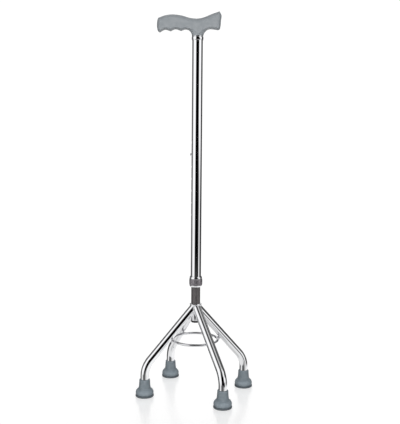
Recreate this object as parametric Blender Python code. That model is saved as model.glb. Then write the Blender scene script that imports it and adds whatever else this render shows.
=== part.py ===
"""Quad walking cane: a T-handle on a telescopic shaft, on a base with four bent legs.

Units are metres, +Z is up. The origin is on the floor under the shaft's axis. The handle runs
along X, its long grip towards -X. The base is turned about the shaft by BASE_YAW.
"""

import math

import bmesh
import bpy
from mathutils import Vector

# ---- driving dimensions -------------------------------------------------------------------

GAP = 0.0003  # left between pieces that touch

# Telescopic shaft: standard 22 mm and 19 mm tubes.
OUTER_TUBE_R = 0.0110
OUTER_TUBE_WALL = 0.0010
INNER_TUBE_R = 0.0095
INNER_TUBE_WALL = 0.0012
HANDLE_FOOT_Z = 0.7441  # where the handle meets the ferrule
NUT_TOP_Z = 0.2490
NUT_BOTTOM_Z = 0.2268
NUT_BELT_LOW_Z = NUT_BOTTOM_Z + 0.0038
NUT_BELT_HIGH_Z = NUT_TOP_Z - 0.0049
INNER_TUBE_TOP_Z = 0.5300
OUTER_TUBE_TOP_Z = HANDLE_FOOT_Z - 0.0016
OUTER_TUBE_BOTTOM_Z = NUT_TOP_Z - 0.0130

# Height adjustment: a spring button and a row of holes in the outer tube.
BUTTON_Z = 0.5040
BUTTON_R = 0.0030
BUTTON_HOLE_R = 0.0034
BUTTON_PROUD = 0.0028
HOLE_PITCH = 0.0250
HOLES_ABOVE = 1
HOLES_BELOW = 5

# Handle.
GRIP_THICKNESS = 0.0260
GRIP_EDGE_R = 0.0060
TIP_SHARPNESS = 1.3  # of the ridges between two finger grooves; 1 is a sine wave
NECK_R = 0.0116
SOCKET_R = 0.0080
SOCKET_DEPTH = 0.0250

# Base: a hub tube, four legs and a brace ring.
BASE_YAW = math.radians(-21.0)
FOOT_SPACING_LONG = 0.1730
FOOT_SPACING_SHORT = 0.1364
HUB_TOP_Z = 0.1900
HUB_BOTTOM_Z = 0.1548
HUB_WALL = 0.0015
LEG_R = 0.0087
LEG_WALL = 0.0012
LEG_APEX_Z = 0.1873  # where the legs' straight runs would meet on the axis
LEG_SLOPE = math.radians(41.4)  # from the vertical
LEG_BEND_R = 0.0500
RING_R = 0.0475
RING_Z = 0.1132
RING_WIRE_R = 0.0026

# Rubber feet.
FOOT_HEIGHT = 0.0360
FOOT_FLOOR = 0.0080
WASHER_THICKNESS = 0.0012

# Facets round a turned piece.
FINE = 32
COARSE = 24
SMALL = 16

CORNERS = {
    "front_left": (-1, -1),
    "front_right": (1, -1),
    "rear_right": (1, 1),
    "rear_left": (-1, 1),
}


# ---- helpers ------------------------------------------------------------------------------


def clear_scene():
    for obj in list(bpy.data.objects):
        bpy.data.objects.remove(obj, do_unlink=True)


def material(name, colour, roughness, metallic):
    made = bpy.data.materials.new(name)
    made.use_nodes = True
    shader = made.node_tree.nodes["Principled BSDF"]
    shader.inputs["Base Color"].default_value = (*colour, 1.0)
    shader.inputs["Roughness"].default_value = roughness
    shader.inputs["Metallic"].default_value = metallic
    return made


def frame(name, location=(0, 0, 0), parent=None):
    """An empty that holds one moving group, on its joint's axis."""
    empty = bpy.data.objects.new(name, None)
    empty.location = location
    empty.parent = parent
    bpy.context.scene.collection.objects.link(empty)
    return empty


def add_object(name, bm, look, parent, location=(0, 0, 0), rotation=(0, 0, 0)):
    bmesh.ops.recalc_face_normals(bm, faces=bm.faces)
    mesh = bpy.data.meshes.new(name)
    bm.to_mesh(mesh)
    bm.free()
    mesh.shade_smooth()
    mesh.set_sharp_from_angle(angle=math.radians(35))
    obj = bpy.data.objects.new(name, mesh)
    bpy.context.scene.collection.objects.link(obj)
    obj.location = location
    obj.rotation_euler = rotation
    obj.parent = parent
    if look:
        mesh.materials.append(look)
    return obj


def hide_cutter(obj):
    obj.hide_render = True
    obj.display_type = "WIRE"


def boolean(obj, cutter, operation="DIFFERENCE"):
    hide_cutter(cutter)
    modifier = obj.modifiers.new(cutter.name, "BOOLEAN")
    modifier.operation = operation
    modifier.solver = "EXACT"
    modifier.object = cutter


def turned(profile, sides, closed):
    """A profile of (radius, height) points turned about Z. A closed profile makes a ring; an open
    one starts and ends on the axis."""
    bm = bmesh.new()
    rings = []
    for radius, height in profile:
        if radius == 0:
            rings.append([bm.verts.new((0, 0, height))])
            continue
        ring = []
        for i in range(sides):
            angle = 2 * math.pi * i / sides
            ring.append(bm.verts.new((radius * math.cos(angle), radius * math.sin(angle), height)))
        rings.append(ring)
    pairs = list(zip(rings, rings[1:]))
    if closed:
        pairs.append((rings[-1], rings[0]))
    for low, high in pairs:
        for i in range(sides):
            j = (i + 1) % sides
            if len(low) == 1:
                bm.faces.new((low[0], high[i], high[j]))
            elif len(high) == 1:
                bm.faces.new((low[i], low[j], high[0]))
            else:
                bm.faces.new((low[i], low[j], high[j], high[i]))
    return bm


def pipe_profile(r_out, r_in, low, high):
    return [(r_out, low), (r_out, high), (r_in, high), (r_in, low)]


def arc(centre, radius, start, end, steps):
    """Points on an arc in a plane, angles in degrees."""
    points = []
    for i in range(steps + 1):
        angle = math.radians(start + (end - start) * i / steps)
        points.append((centre[0] + radius * math.cos(angle), centre[1] + radius * math.sin(angle)))
    return points


def smooth_run(points, steps):
    """A Catmull-Rom curve through the points, without its last point."""
    padded = [points[0], *points, points[-1]]
    run = []
    for a, b, c, d in zip(padded, padded[1:], padded[2:], padded[3:]):
        a, b, c, d = Vector(a), Vector(b), Vector(c), Vector(d)
        for i in range(steps):
            t = i / steps
            place = 2 * b + (c - a) * t
            place += (2 * a - 5 * b + 4 * c - d) * t**2
            place += (3 * b - a - 3 * c + d) * t**3
            run.append(place / 2)
    return run


def ease(value):
    value = min(1.0, max(0.0, value))
    return value * value * (3 - 2 * value)


# ---- handle -------------------------------------------------------------------------------


def grip_underside():
    """Finger grooves, from the neck out to the end of the long arm, as (x, height) points. Each
    groove is round at its valley and sharper at the tips between two fingers."""
    tips_and_valleys = [
        (-0.0237, 0.0132),
        (-0.0336, 0.0103),
        (-0.0448, 0.0134),
        (-0.0549, 0.0095),
        (-0.0653, 0.0123),
        (-0.0775, 0.0068),
    ]
    steps = 4
    points = []
    for number, (here, there) in enumerate(zip(tips_and_valleys, tips_and_valleys[1:])):
        to_a_tip = number % 2 == 0
        for i in range(steps):
            t = i / steps
            if to_a_tip:
                rise = 1 - math.sin((1 - t) * math.pi / 2) ** TIP_SHARPNESS
            else:
                rise = math.sin(t * math.pi / 2) ** TIP_SHARPNESS
            x = here[0] + (there[0] - here[0]) * t
            height = here[1] + (there[1] - here[1]) * rise
            points.append(Vector((x, height)))
    return points


def handle_outline():
    """The handle seen from the side, clockwise from the neck's left corner: (x, height above the
    neck's foot)."""
    left_neck = [
        (-NECK_R, 0),
        (-0.0120, 0.0030),
        (-0.0142, 0.0078),
        (-0.0182, 0.0116),
        (-0.0237, 0.0132),
    ]
    left_end = [
        (-0.0775, 0.0068),
        (-0.0812, 0.0105),
        (-0.0826, 0.0190),
        (-0.0820, 0.0290),
        (-0.0800, 0.0350),
    ]
    top = [
        (-0.0800, 0.0350),
        (-0.0660, 0.0402),
        (-0.0502, 0.0422),
        (-0.0319, 0.0400),
        (-0.0157, 0.0356),
        (-0.0002, 0.0343),
        (0.0127, 0.0370),
        (0.0289, 0.0436),
        (0.0440, 0.0490),
    ]
    right_end = [
        (0.0440, 0.0490),
        (0.0483, 0.0405),
        (0.0472, 0.0300),
        (0.0467, 0.0215),
        (0.0453, 0.0148),
        (0.0424, 0.0122),
    ]
    right_neck = [
        (0.0424, 0.0122),
        (0.0340, 0.0134),
        (0.0262, 0.0140),
        (0.0195, 0.0124),
        (0.0148, 0.0080),
        (0.0122, 0.0030),
        (NECK_R, 0),
    ]
    outline = smooth_run(left_neck, 2)
    outline += grip_underside()
    outline += smooth_run(left_end, 2)
    outline += smooth_run(top, 2)
    outline += smooth_run(right_end, 2)
    outline += smooth_run(right_neck, 2)
    outline.append(Vector((NECK_R, 0)))
    return outline


def spine_point(place):
    """The point inside the handle that an outline point moves towards as the edge rounds off."""
    x, height = place
    along = min(0.0340, max(-0.0680, x))
    grip = Vector((along, 0.0245 + 0.06 * max(0.0, along)))
    neck = Vector((0.0, 1.6 * height))
    near_neck = ease((0.030 - abs(x)) / 0.014) * ease((0.0200 - height) / 0.0070)
    return grip.lerp(neck, near_neck)


def handle_section(place, offset):
    """One outline point at a distance from the middle plane, as (x, y, height). The grip is flat
    with round edges; the neck turns into a full circle at its foot."""
    flat = GRIP_THICKNESS / 2 - GRIP_EDGE_R
    past = max(0.0, abs(offset) - flat)
    grip_inset = GRIP_EDGE_R - math.sqrt(max(0.0, GRIP_EDGE_R**2 - past**2))
    neck_y = 0.985 * NECK_R * offset / (GRIP_THICKNESS / 2)
    neck_inset = NECK_R - math.sqrt(NECK_R**2 - neck_y**2)
    x, height = place
    round_neck = ease((0.0140 - height) / 0.0120) * ease((0.0240 - abs(x)) / 0.0100)
    inset = grip_inset + (neck_inset - grip_inset) * round_neck
    y = offset + (neck_y - offset) * round_neck
    towards = spine_point(place) - place
    moved = place + towards.normalized() * min(inset, towards.length * 0.95)
    return (moved.x, y, moved.y)


def handle_grip(look, parent):
    outline = handle_outline()
    half = GRIP_THICKNESS / 2
    flat = half - GRIP_EDGE_R
    edge = [flat + GRIP_EDGE_R * math.sin(math.radians(a)) for a in (0, 35, 65, 90)]
    offsets = [-y for y in reversed(edge)] + [-flat / 2, 0.0, flat / 2] + edge
    bm = bmesh.new()
    slices = []
    for offset in offsets:
        slices.append([bm.verts.new(handle_section(place, offset)) for place in outline])
    count = len(outline)
    for near, far in zip(slices, slices[1:]):
        for i in range(count):
            j = (i + 1) % count
            bm.faces.new((near[i], near[j], far[j], far[i]))
    caps = [bm.faces.new(slices[0]), bm.faces.new(slices[-1])]
    bmesh.ops.triangulate(bm, faces=caps)
    grip = add_object("handle_grip", bm, look, parent, location=(0, 0, HANDLE_FOOT_Z))
    below = -0.0100
    profile = [(0, below), (SOCKET_R, below), (SOCKET_R, SOCKET_DEPTH), (0, SOCKET_DEPTH)]
    socket = turned(profile, COARSE, False)
    boolean(grip, add_object("cut_handle_socket", socket, None, parent, location=(0, 0, HANDLE_FOOT_Z)))


def handle_spigot(look, parent):
    """The plug in the tube's top, with a collar on the tube's end and a pin in the handle."""
    in_tube_r = OUTER_TUBE_R - OUTER_TUBE_WALL - GAP
    profile = [
        (0, OUTER_TUBE_TOP_Z - 0.0375),
        (in_tube_r - 0.001, OUTER_TUBE_TOP_Z - 0.0375),
        (in_tube_r, OUTER_TUBE_TOP_Z - 0.0360),
        (in_tube_r, OUTER_TUBE_TOP_Z + GAP),
        (OUTER_TUBE_R, OUTER_TUBE_TOP_Z + GAP),
        (OUTER_TUBE_R, HANDLE_FOOT_Z - GAP),
        (SOCKET_R - GAP, HANDLE_FOOT_Z - GAP),
        (SOCKET_R - GAP, HANDLE_FOOT_Z + SOCKET_DEPTH - 0.0015),
        (SOCKET_R - 0.0015, HANDLE_FOOT_Z + SOCKET_DEPTH - GAP),
        (0, HANDLE_FOOT_Z + SOCKET_DEPTH - GAP),
    ]
    add_object("handle_spigot", turned(profile, COARSE, False), look, parent)


def handle_ferrule(look, parent):
    low = HANDLE_FOOT_Z - 0.0088
    high = HANDLE_FOOT_Z - GAP
    bore = OUTER_TUBE_R + GAP
    profile = [
        (bore, low),
        (bore + 0.0004, low),
        (bore + 0.0009, low + 0.0015),
        (bore + 0.0009, high - 0.0006),
        (bore + 0.0006, high),
        (bore, high),
    ]
    add_object("handle_ferrule", turned(profile, FINE, True), look, parent)


# ---- shaft --------------------------------------------------------------------------------


def hole_cutter(name, heights, radius, parent):
    """Cylinders along X that cut round holes in a tube's -X wall."""
    bm = bmesh.new()
    for height in heights:
        made = bmesh.ops.create_cone(
            bm, cap_ends=True, segments=SMALL, radius1=radius, radius2=radius, depth=0.010
        )
        turn = Vector((0, 0, 1)).rotation_difference(Vector((1, 0, 0))).to_matrix()
        bmesh.ops.rotate(bm, verts=made["verts"], matrix=turn)
        bmesh.ops.translate(bm, verts=made["verts"], vec=(-INNER_TUBE_R, 0, height))
    return add_object(name, bm, None, parent)


def outer_tube(look, parent):
    bore = OUTER_TUBE_R - OUTER_TUBE_WALL
    profile = pipe_profile(OUTER_TUBE_R, bore, OUTER_TUBE_BOTTOM_Z, OUTER_TUBE_TOP_Z)
    tube = add_object("outer_tube", turned(profile, FINE, True), look, parent)
    steps = range(-HOLES_BELOW, HOLES_ABOVE + 1)
    heights = [BUTTON_Z + HOLE_PITCH * step for step in steps]
    boolean(tube, hole_cutter("cut_height_holes", heights, BUTTON_HOLE_R, parent))


def threaded_sleeve(look, parent):
    high = NUT_TOP_Z - 0.0012
    bore = OUTER_TUBE_R + GAP
    profile = pipe_profile(bore + 0.0007, bore, OUTER_TUBE_BOTTOM_Z, high)
    add_object("threaded_sleeve", turned(profile, FINE, True), look, parent)


def inner_tube(look, parent):
    bore = INNER_TUBE_R - INNER_TUBE_WALL
    profile = pipe_profile(INNER_TUBE_R, bore, HUB_TOP_Z + GAP, INNER_TUBE_TOP_Z)
    tube = add_object("inner_tube", turned(profile, FINE, True), look, parent)
    boolean(tube, hole_cutter("cut_inner_hole", [BUTTON_Z], BUTTON_HOLE_R, parent))


def inner_tube_guide(look, parent):
    """A plastic bush on the inner tube's top end, which runs in the outer tube."""
    running_r = OUTER_TUBE_R - OUTER_TUBE_WALL - 0.0002
    shank_r = INNER_TUBE_R - INNER_TUBE_WALL - GAP
    bore = 0.0055
    top = INNER_TUBE_TOP_Z + 0.0100
    profile = [
        (bore, INNER_TUBE_TOP_Z - 0.0090),
        (shank_r, INNER_TUBE_TOP_Z - 0.0090),
        (shank_r, INNER_TUBE_TOP_Z + GAP),
        (running_r, INNER_TUBE_TOP_Z + GAP),
        (running_r, top - 0.0010),
        (running_r - 0.0010, top),
        (bore, top),
    ]
    add_object("inner_tube_guide", turned(profile, FINE, True), look, parent)


def snap_button(look, parent):
    """A flanged pin with a domed end, turned about its own axis and laid along -X. Its frame is on
    the shaft's axis, so local heights are distances out from it."""
    seat = 0.0066
    tip = OUTER_TUBE_R + BUTTON_PROUD
    dome_start = tip - 0.0018
    flange_r = 0.0045
    back = seat - 0.0012
    profile = [(0, back), (flange_r, back), (flange_r, seat), (BUTTON_R, seat), (BUTTON_R, dome_start)]
    for angle in (30, 60):
        place = math.radians(angle)
        profile.append((BUTTON_R * math.cos(place), dome_start + (tip - dome_start) * math.sin(place)))
    profile.append((0, tip))
    outward = (0, -math.pi / 2, 0)
    add_object("snap_button", turned(profile, SMALL, False), look, parent, rotation=outward)


def button_spring(look, parent):
    """A strip bent into a V inside the inner tube: one arm behind the button, one on the far wall."""
    thickness = 0.0005
    width = 0.0050
    button_back = -0.0054
    near = button_back + GAP + thickness / 2
    far = 0.0074
    floor = BUTTON_Z - 0.0440
    bend_r = 0.0020
    middle = (near + far) / 2
    path = [(near, BUTTON_Z + 0.0055), (near, BUTTON_Z - 0.0050)]
    path += arc((middle, floor + bend_r), bend_r, 180, 360, 6)
    path += [(far, BUTTON_Z - 0.0050), (far, BUTTON_Z + 0.0055)]
    bm = bmesh.new()
    sections = []
    for i, here in enumerate(path):
        before = Vector(path[max(0, i - 1)])
        after = Vector(path[min(len(path) - 1, i + 1)])
        along = (after - before).normalized()
        across = Vector((along.y, -along.x)) * thickness / 2
        section = []
        for side, y in ((1, width / 2), (1, -width / 2), (-1, -width / 2), (-1, width / 2)):
            place = Vector(here) + side * across
            section.append(bm.verts.new((place.x, y, place.y)))
        sections.append(section)
    for low, high in zip(sections, sections[1:]):
        for i in range(4):
            j = (i + 1) % 4
            bm.faces.new((low[i], low[j], high[j], high[i]))
    bm.faces.new(sections[0])
    bm.faces.new(sections[-1])
    add_object("button_spring", bm, look, parent)


def lock_nut(look, parent):
    """A barrel nut: a knurled belt between two smooth bands, round the sleeve above and the collet
    below."""
    shaft_bore = INNER_TUBE_R + 0.0004
    sleeve_bore = OUTER_TUBE_R + GAP + 0.0010
    seat = NUT_BOTTOM_Z + 0.0022
    shoulder = OUTER_TUBE_BOTTOM_Z - 0.0008
    profile = [
        (shaft_bore, NUT_BOTTOM_Z),
        (0.0115, NUT_BOTTOM_Z),
        (0.0127, NUT_BOTTOM_Z + 0.0014),
        (0.0131, NUT_BELT_LOW_Z - 0.0004),
        (0.0138, NUT_BELT_LOW_Z),
        (0.0138, NUT_BELT_HIGH_Z),
        (0.0133, NUT_BELT_HIGH_Z + 0.0004),
        (0.0130, NUT_TOP_Z - 0.0016),
        (0.0126, NUT_TOP_Z),
        (sleeve_bore, NUT_TOP_Z),
        (sleeve_bore, shoulder),
        (0.0118, shoulder),
        (0.0110, seat),
        (shaft_bore, seat),
    ]
    add_object("lock_nut", turned(profile, FINE, True), look, parent)


def collet_ring(look, parent):
    """A split tapered ring round the inner tube. Turning the nut squeezes it."""
    low = NUT_BOTTOM_Z + 0.0022 + GAP
    high = OUTER_TUBE_BOTTOM_Z - GAP
    bore = INNER_TUBE_R + 0.0002
    slit = 0.0015
    profile = [(bore, low), (0.0106, low), (0.0114, high), (bore, high)]
    ring = add_object("collet_ring", turned(profile, FINE, True), look, parent)
    bm = bmesh.new()
    bmesh.ops.create_cube(bm, size=1.0)
    bmesh.ops.scale(bm, verts=bm.verts, vec=(0.008, slit, 0.020))
    middle = (INNER_TUBE_R + 0.001, 0, (low + high) / 2)
    boolean(ring, add_object("cut_collet_slit", bm, None, parent, location=middle))


# ---- base ---------------------------------------------------------------------------------


def foot_place(corner):
    """A foot's centre on the floor, and its azimuth about the shaft."""
    x = CORNERS[corner][0] * FOOT_SPACING_LONG / 2
    y = CORNERS[corner][1] * FOOT_SPACING_SHORT / 2
    azimuth = math.atan2(y, x) + BASE_YAW
    reach = math.hypot(x, y)
    return Vector((reach * math.cos(azimuth), reach * math.sin(azimuth), 0)), azimuth, reach


def hub_tube(look, parent):
    profile = pipe_profile(INNER_TUBE_R, INNER_TUBE_R - HUB_WALL, HUB_BOTTOM_Z, HUB_TOP_Z)
    add_object("hub_tube", turned(profile, FINE, True), look, parent)


def hub_spigot(look, parent):
    """A sleeve inside the hub tube and the inner tube, which joins them."""
    r = INNER_TUBE_R - HUB_WALL - GAP
    wall = 0.0020
    profile = pipe_profile(r, r - wall, HUB_BOTTOM_Z + 0.0080, HUB_TOP_Z + 0.0300)
    add_object("hub_spigot", turned(profile, COARSE, True), look, parent)


def hub_end_plug(look, parent):
    head_low = HUB_BOTTOM_Z - 0.0043
    head_r = INNER_TUBE_R - 0.0002
    shank_r = INNER_TUBE_R - HUB_WALL - GAP
    profile = [
        (0, head_low),
        (head_r - 0.0012, head_low),
        (head_r, head_low + 0.0012),
        (head_r, HUB_BOTTOM_Z - GAP),
        (shank_r, HUB_BOTTOM_Z - GAP),
        (shank_r, HUB_BOTTOM_Z + 0.0070),
        (0, HUB_BOTTOM_Z + 0.0070),
    ]
    add_object("hub_end_plug", turned(profile, COARSE, False), look, parent)


def leg_path(reach):
    """The leg's centre line as (radius, height, direction from the vertical)."""
    corner_z = LEG_APEX_Z - reach / math.tan(LEG_SLOPE)
    tangent = LEG_BEND_R * math.tan(LEG_SLOPE / 2)
    inside = -0.0020
    path = [(inside, LEG_APEX_Z - inside / math.tan(LEG_SLOPE), LEG_SLOPE)]
    centre = (reach - LEG_BEND_R, corner_z - tangent)
    steps = 7
    for i in range(steps + 1):
        turn = LEG_SLOPE * (1 - i / steps)
        place = Vector(centre) + LEG_BEND_R * Vector((math.cos(turn), math.sin(turn)))
        path.append((place.x, place.y, turn))
    path.append((reach, FOOT_FLOOR + GAP + WASHER_THICKNESS + GAP, 0.0))
    return path


def leg_body(reach):
    """A bent tube in the XZ plane."""
    sides = 20
    bm = bmesh.new()
    skins = []
    for radius in (LEG_R, LEG_R - LEG_WALL):
        rings = []
        for r, z, turn in leg_path(reach):
            centre = Vector((r, 0, z))
            across = Vector((math.cos(turn), 0, math.sin(turn)))
            ring = []
            for i in range(sides):
                angle = 2 * math.pi * i / sides
                out = across * math.cos(angle) + Vector((0, math.sin(angle), 0))
                ring.append(bm.verts.new(centre + radius * out))
            rings.append(ring)
        skins.append(rings)
    outer, inner = skins
    joins = list(zip(outer, outer[1:])) + list(zip(inner, inner[1:]))
    joins += [(outer[0], inner[0]), (outer[-1], inner[-1])]
    for low, high in joins:
        for i in range(sides):
            j = (i + 1) % sides
            bm.faces.new((low[i], low[j], high[j], high[i]))
    return bm


def leg_sector(before, after):
    """The space one leg may fill: outside the hub tube, and between the planes half way to its
    neighbours, whose angles are before and after."""
    clear_r = INNER_TUBE_R + GAP
    half_gap = GAP / 2
    far = 0.16
    steps = 8
    outline = []
    for i in range(steps + 1):
        angle = -before + (before + after) * i / steps
        inset = half_gap * math.copysign(1, angle) if i in (0, steps) else 0.0
        place = Vector((clear_r * math.cos(angle), clear_r * math.sin(angle)))
        outline.append(place + inset * Vector((math.sin(angle), -math.cos(angle))))
    outline.append(outline[-1] + far * Vector((math.cos(after), math.sin(after))))
    outline.append(outline[0] + far * Vector((math.cos(before), -math.sin(before))))
    bm = bmesh.new()
    low = [bm.verts.new((x, y, -0.01)) for x, y in outline]
    high = [bm.verts.new((x, y, 0.25)) for x, y in outline]
    count = len(outline)
    for i in range(count):
        j = (i + 1) % count
        bm.faces.new((low[i], low[j], high[j], high[i]))
    bm.faces.new(low)
    bm.faces.new(high)
    return bm


def leg(corner, look, parent):
    _, azimuth, reach = foot_place(corner)
    half_long_gap = math.atan2(FOOT_SPACING_LONG, FOOT_SPACING_SHORT)
    half_short_gap = math.pi / 2 - half_long_gap
    long_gap_is_after = CORNERS[corner][0] * CORNERS[corner][1] > 0
    if long_gap_is_after:
        before, after = half_short_gap, half_long_gap
    else:
        before, after = half_long_gap, half_short_gap
    turn = (0, 0, azimuth)
    tube = add_object(f"leg_{corner}", leg_body(reach), look, parent, rotation=turn)
    sector = add_object(f"keep_leg_{corner}", leg_sector(before, after), None, parent, rotation=turn)
    boolean(tube, sector, "INTERSECT")


def brace_ring(look, parent):
    """A wire ring inside the legs, with a stub that reaches each leg's inner side."""
    around = 40
    sides = 10
    bm = bmesh.new()
    rings = []
    for i in range(around):
        turn = 2 * math.pi * i / around
        ring = []
        for k in range(sides):
            angle = 2 * math.pi * k / sides
            r = RING_R + RING_WIRE_R * math.cos(angle)
            height = RING_WIRE_R * math.sin(angle)
            ring.append(bm.verts.new((r * math.cos(turn), r * math.sin(turn), height)))
        rings.append(ring)
    for i in range(around):
        near = rings[i]
        far = rings[(i + 1) % around]
        for k in range(sides):
            m = (k + 1) % sides
            bm.faces.new((near[k], near[m], far[m], far[k]))
    wire = add_object("brace_ring", bm, look, parent, location=(0, 0, RING_Z))
    stub_r = RING_WIRE_R * 0.85
    leg_r = (LEG_APEX_Z - RING_Z - stub_r) * math.tan(LEG_SLOPE)
    stub_end = leg_r - LEG_R / math.cos(LEG_SLOPE) - GAP
    for corner in CORNERS:
        azimuth = foot_place(corner)[1]
        stub = turned([(0, RING_R), (stub_r, RING_R), (stub_r, stub_end), (0, stub_end)], SMALL, False)
        lay = (0, math.pi / 2, azimuth)
        made = add_object(f"join_stub_{corner}", stub, None, parent, location=(0, 0, RING_Z), rotation=lay)
        boolean(wire, made, "UNION")


def foot(corner, look, parent):
    """A rubber tip: a neck round the leg, a flare and a bulged base with a lip."""
    bore = LEG_R + GAP
    profile = [
        (0, 0),
        (0.0186, 0),
        (0.0191, 0.0012),
        (0.0191, 0.0036),
        (0.0182, 0.0048),
        (0.0186, 0.0064),
        (0.0185, 0.0094),
        (0.0176, 0.0128),
        (0.0150, 0.0158),
        (0.0129, 0.0178),
        (0.0120, 0.0220),
        (0.0110, FOOT_HEIGHT - 0.0008),
        (0.0106, FOOT_HEIGHT),
        (bore, FOOT_HEIGHT),
        (bore, FOOT_FLOOR),
        (0, FOOT_FLOOR),
    ]
    place = foot_place(corner)[0]
    add_object(f"foot_{corner}", turned(profile, COARSE, False), look, parent, location=place)


def foot_washer(corner, look, parent):
    low = FOOT_FLOOR + GAP
    profile = pipe_profile(LEG_R, 0.0030, low, low + WASHER_THICKNESS)
    place = foot_place(corner)[0]
    add_object(f"foot_washer_{corner}", turned(profile, COARSE, True), look, parent, location=place)


# ---- assembly -----------------------------------------------------------------------------


def build():
    clear_scene()
    chrome = material("chrome", (0.82, 0.83, 0.85), 0.06, 1.0)
    satin_steel = material("satin_steel", (0.30, 0.29, 0.30), 0.38, 1.0)
    spring_steel = material("spring_steel", (0.55, 0.56, 0.58), 0.30, 1.0)
    grey_plastic = material("grey_plastic", (0.33, 0.36, 0.38), 0.55, 0.0)
    grey_rubber = material("grey_rubber", (0.19, 0.24, 0.27), 0.70, 0.0)
    black_plastic = material("black_plastic", (0.02, 0.02, 0.02), 0.45, 0.0)
    white_plastic = material("white_plastic", (0.75, 0.74, 0.71), 0.50, 0.0)

    base = frame("base_frame")
    hub_tube(chrome, base)
    hub_spigot(spring_steel, base)
    hub_end_plug(black_plastic, base)
    brace_ring(chrome, base)
    for corner in CORNERS:
        leg(corner, chrome, base)
        foot_washer(corner, spring_steel, base)
        foot(corner, grey_rubber, base)
    inner_tube(satin_steel, base)
    inner_tube_guide(white_plastic, base)
    button_spring(spring_steel, base)

    button = frame("button_frame", location=(0, 0, BUTTON_Z), parent=base)
    snap_button(chrome, button)

    upper = frame("upper_frame", parent=base)
    outer_tube(chrome, upper)
    threaded_sleeve(spring_steel, upper)
    handle_ferrule(chrome, upper)
    handle_spigot(white_plastic, upper)
    handle_grip(grey_plastic, upper)

    collet = frame("collet_frame", parent=upper)
    collet_ring(white_plastic, collet)
    nut = frame("nut_frame", parent=collet)
    lock_nut(chrome, nut)


build()
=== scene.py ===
"""Looks of the quad walking cane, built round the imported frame.

Units are metres, +Z is up, and the shaft stands on the origin. Places come from the frame's boxes.
The handle's long grip points to -X and the camera looks along +Y.
"""

import math

import bmesh
import bpy
from mathutils import Matrix, Vector

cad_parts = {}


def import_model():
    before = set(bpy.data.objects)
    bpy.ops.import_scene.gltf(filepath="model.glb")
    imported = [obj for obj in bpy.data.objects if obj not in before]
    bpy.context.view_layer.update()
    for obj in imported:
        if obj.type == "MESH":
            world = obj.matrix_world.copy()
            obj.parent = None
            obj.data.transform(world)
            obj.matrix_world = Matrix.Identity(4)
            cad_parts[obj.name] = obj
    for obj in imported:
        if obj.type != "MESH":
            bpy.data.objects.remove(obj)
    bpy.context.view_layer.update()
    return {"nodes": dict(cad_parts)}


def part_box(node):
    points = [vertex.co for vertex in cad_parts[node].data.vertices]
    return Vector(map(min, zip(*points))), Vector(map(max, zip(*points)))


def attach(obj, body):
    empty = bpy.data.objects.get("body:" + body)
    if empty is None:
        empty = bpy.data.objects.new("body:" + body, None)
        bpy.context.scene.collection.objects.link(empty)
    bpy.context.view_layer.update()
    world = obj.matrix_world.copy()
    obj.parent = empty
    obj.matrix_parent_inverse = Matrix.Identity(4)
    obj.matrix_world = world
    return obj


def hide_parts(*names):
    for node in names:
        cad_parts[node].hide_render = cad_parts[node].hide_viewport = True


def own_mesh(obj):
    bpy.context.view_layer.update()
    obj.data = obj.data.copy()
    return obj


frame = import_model()

# ---- sizes --------------------------------------------------------------------------------

SIDES = 64  # round a tube
WALL = 0.0010

HOLE_R = 0.0034
HOLE_PITCH = 0.0250
HOLES_ABOVE = 1
HOLES_BELOW = 5
PATCH = 8  # columns and rows of the tube's mesh that one hole takes up

LEG_SLOPE = math.radians(41.4)  # from the vertical
LEG_APEX_Z = 0.1873  # where the legs' straight runs would meet on the axis
LEG_BEND_R = 0.0500
RING_R = 0.0475
RING_WIRE_R = 0.0028

KNURLS = 54
KNURL_DEPTH = 0.00035

CORNERS = ("front_left", "front_right", "rear_right", "rear_left")


# ---- what the frame says ------------------------------------------------------------------


def centre(node):
    low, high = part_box(node)
    return (Vector(low) + Vector(high)) / 2


def radius(node):
    low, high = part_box(node)
    return (high[0] - low[0]) / 2


def radius_across(node):
    """The radius of a piece that lies along X."""
    low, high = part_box(node)
    return (high[2] - low[2]) / 2


def bottom(node):
    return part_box(node)[0][2]


def top(node):
    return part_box(node)[1][2]


OUTER_R = radius("outer_tube")
INNER_R = radius("inner_tube")
LEG_R = radius("foot_washer_front_left")
HANDLE_FOOT_Z = bottom("handle_grip")
HUB_BORE = INNER_R - WALL
BUTTON_Z = centre("snap_button").z


# ---- mesh helpers -------------------------------------------------------------------------


def new_object(name, bm, look, sharp=40):
    bmesh.ops.remove_doubles(bm, verts=bm.verts, dist=0.000005)
    bmesh.ops.recalc_face_normals(bm, faces=bm.faces)
    mesh = bpy.data.meshes.new(name)
    bm.to_mesh(mesh)
    bm.free()
    mesh.shade_smooth()
    mesh.set_sharp_from_angle(angle=math.radians(sharp))
    mesh.materials.append(look)
    obj = bpy.data.objects.new(name, mesh)
    bpy.context.scene.collection.objects.link(obj)
    return obj


def piece(name, bm, look, body, nodes=(), sharp=40):
    """A finished piece that rides on a body, takes a slot's finish and may stand for CAD nodes."""
    obj = new_object(name, bm, look, sharp)
    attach(obj, body)
    if nodes:
        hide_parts(*nodes)
    return obj


def bridge(bm, near, far):
    """Quads between two loops with as many points."""
    count = len(near)
    for i in range(count):
        j = (i + 1) % count
        bm.faces.new((near[i], near[j], far[j], far[i]))


def rounded(profile, fillet, steps=3):
    """The profile with each inner corner rounded off by at most the fillet's length."""
    points = [Vector(profile[0])]
    for before, here, after in zip(profile, profile[1:], profile[2:]):
        before, here, after = Vector(before), Vector(here), Vector(after)
        cut = min(fillet, (before - here).length * 0.45, (after - here).length * 0.45)
        start = here + (before - here).normalized() * cut
        end = here + (after - here).normalized() * cut
        for i in range(steps + 1):
            t = i / steps
            points.append(start * (1 - t) ** 2 + here * 2 * t * (1 - t) + end * t**2)
    points.append(Vector(profile[-1]))
    return points


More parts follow.
